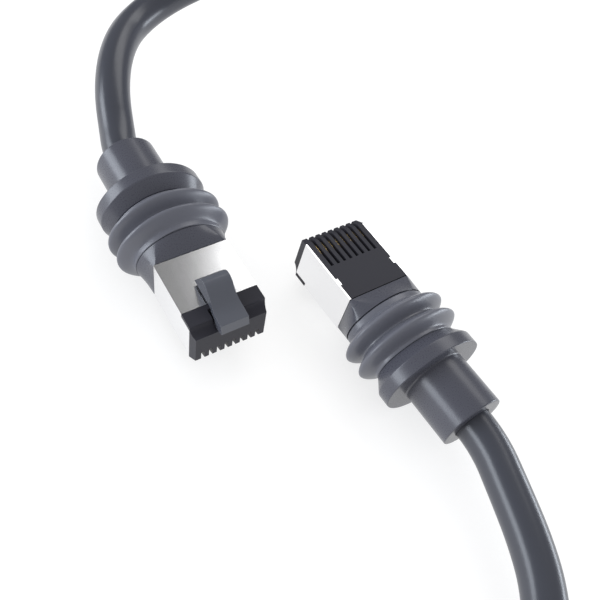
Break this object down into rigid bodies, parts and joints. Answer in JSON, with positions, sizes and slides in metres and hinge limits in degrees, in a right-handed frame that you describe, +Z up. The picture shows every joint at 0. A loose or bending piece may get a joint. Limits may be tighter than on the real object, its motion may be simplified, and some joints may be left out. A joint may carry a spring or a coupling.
{
  "type": "ethernet patch cable",
  "caption": "Short shielded patch cable with a latched eight-contact plug, a ribbed seal and a flanged backshell at each end, laid out in a loop.",
  "frame": {"origin": "middle of plug A's nose face, on the plug's axis", "axes": "+X along plug A's insertion direction, +Z up from the surface the cable lies on"},
  "size_m": [0.2148, 0.2058, 0.0324],
  "materials": {
    "jacket": "smooth moulded PVC jacket, satin gloss",
    "braid": "tinned copper braid",
    "foil": "aluminium foil",
    "filler": "polyethylene",
    "wire_blue": "insulation",
    "wire_orange": "insulation",
    "wire_green": "insulation",
    "wire_brown": "insulation",
    "nose_plastic": "moulded polycarbonate, fine satin",
    "latch_plastic": "moulded polycarbonate, satin",
    "shield_steel": "nickel plated sheet, smooth",
    "contact_gold": "gold plated",
    "clear_plastic": "natural polycarbonate",
    "crimp_metal": "crimped tube",
    "shell_plastic": "moulded, satin",
    "seal_rubber": "moulded elastomer, satin"
  },
  "bodies": {
    "cable": {"cable_jacket": "jacket", "braid_shield": "braid", "foil_wrap": "foil", "cross_filler": "filler", "pair_one": "wire_blue", "pair_two": "wire_orange", "pair_three": "wire_green", "pair_four": "wire_brown"},
    "plug_a": {"plug_body_a": "nose_plastic", "shield_a": "shield_steel", "contacts_a": "contact_gold", "load_bar_a": "clear_plastic", "plug_wires_a": "wire_orange", "crimp_ring_a": "crimp_metal", "front_shell_a": "shell_plastic", "lip_seal_a": "seal_rubber", "backshell_a": "shell_plastic", "jacket_end_a": "jacket", "core_end_a": "braid"},
    "latch_a": {"latch_a": "latch_plastic"},
    "plug_b": {"plug_body_b": "nose_plastic", "shield_b": "shield_steel", "contacts_b": "contact_gold", "load_bar_b": "clear_plastic", "plug_wires_b": "wire_orange", "crimp_ring_b": "crimp_metal", "front_shell_b": "shell_plastic", "lip_seal_b": "seal_rubber", "backshell_b": "shell_plastic", "jacket_end_b": "jacket", "core_end_b": "braid"},
    "latch_b": {"latch_b": "latch_plastic"}
  },
  "joints": [
    {"name": "plug_a_bend", "type": "hinge", "parent": "cable", "child": "plug_a", "pos_m": [-0.0414, 0.0002, 0.0002], "axis": [0, 0, 1], "range_deg": [-35, 6], "stiffness_Nm_per_rad": 0.01, "deforming": ["jacket_end_a", "core_end_a"]},
    {"name": "plug_b_bend", "type": "hinge", "parent": "cable", "child": "plug_b", "pos_m": [0.03002, 0.02575, 0], "axis": [0, 0, 1], "range_deg": [-35, 6], "stiffness_Nm_per_rad": 0.01, "deforming": ["jacket_end_b", "core_end_b"]},
    {"name": "latch_a_press", "type": "hinge", "parent": "plug_a", "child": "latch_a", "pos_m": [-0.00053, -0.0004, 0.00273], "axis": [0, -0.9892, -0.1464], "range_deg": [0, 4.5], "stiffness_Nm_per_rad": 0.002},
    {"name": "latch_b_press", "type": "hinge", "parent": "plug_b", "child": "latch_b", "pos_m": [-0.01026, 0.02323, -0.00276], "axis": [0.065, -0.9972, -0.0375], "range_deg": [0, 4.5], "stiffness_Nm_per_rad": 0.002}
  ]
}
